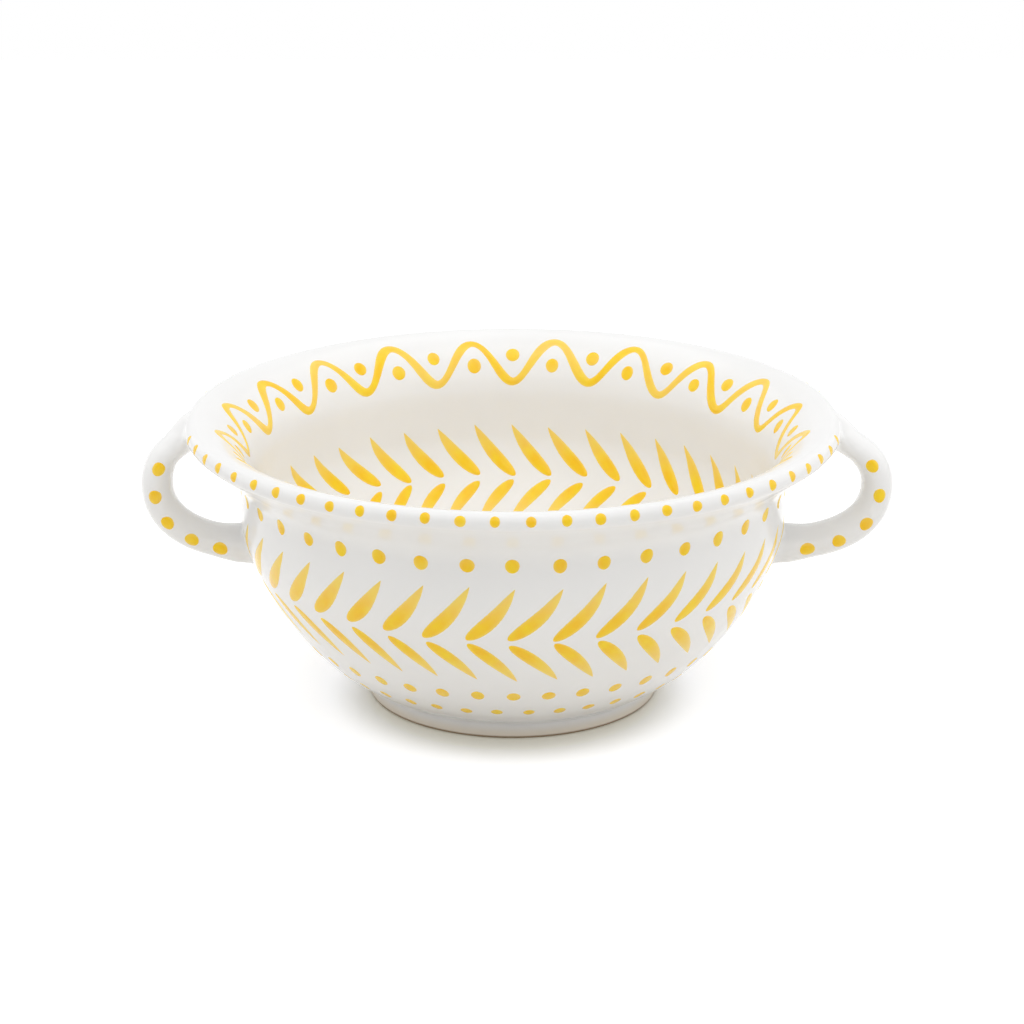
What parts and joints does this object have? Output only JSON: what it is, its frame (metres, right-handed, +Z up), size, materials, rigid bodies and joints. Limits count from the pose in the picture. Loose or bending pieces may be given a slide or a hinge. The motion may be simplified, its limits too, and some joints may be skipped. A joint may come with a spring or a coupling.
{
  "type": "lug serving bowl",
  "caption": "Round glazed pottery bowl with a turned foot, an everted rim and strap handles bent to loops at the sides, for serving food.",
  "frame": {"origin": "centre of the foot ring, on the table", "axes": "+X through the right handle, +Y to the back of the picture, +Z up along the bowl's axis"},
  "size_m": [0.3241, 0.28, 0.125],
  "materials": {
    "white_glaze": "glossy off-white glaze over pale clay, worn through to warm clay along the foot",
    "glazed_slip": "luting slip under the same off-white glaze",
    "yellow_glaze": "glossy yellow glaze brushed on by hand, paler where it is thin"
  },
  "bodies": {
    "root": {"bowl_body": "white_glaze", "right_handle": "white_glaze", "left_handle": "white_glaze", "right_upper_slip_joint": "glazed_slip", "right_lower_slip_joint": "glazed_slip", "left_upper_slip_joint": "glazed_slip", "left_lower_slip_joint": "glazed_slip"}
  },
  "joints": []
}
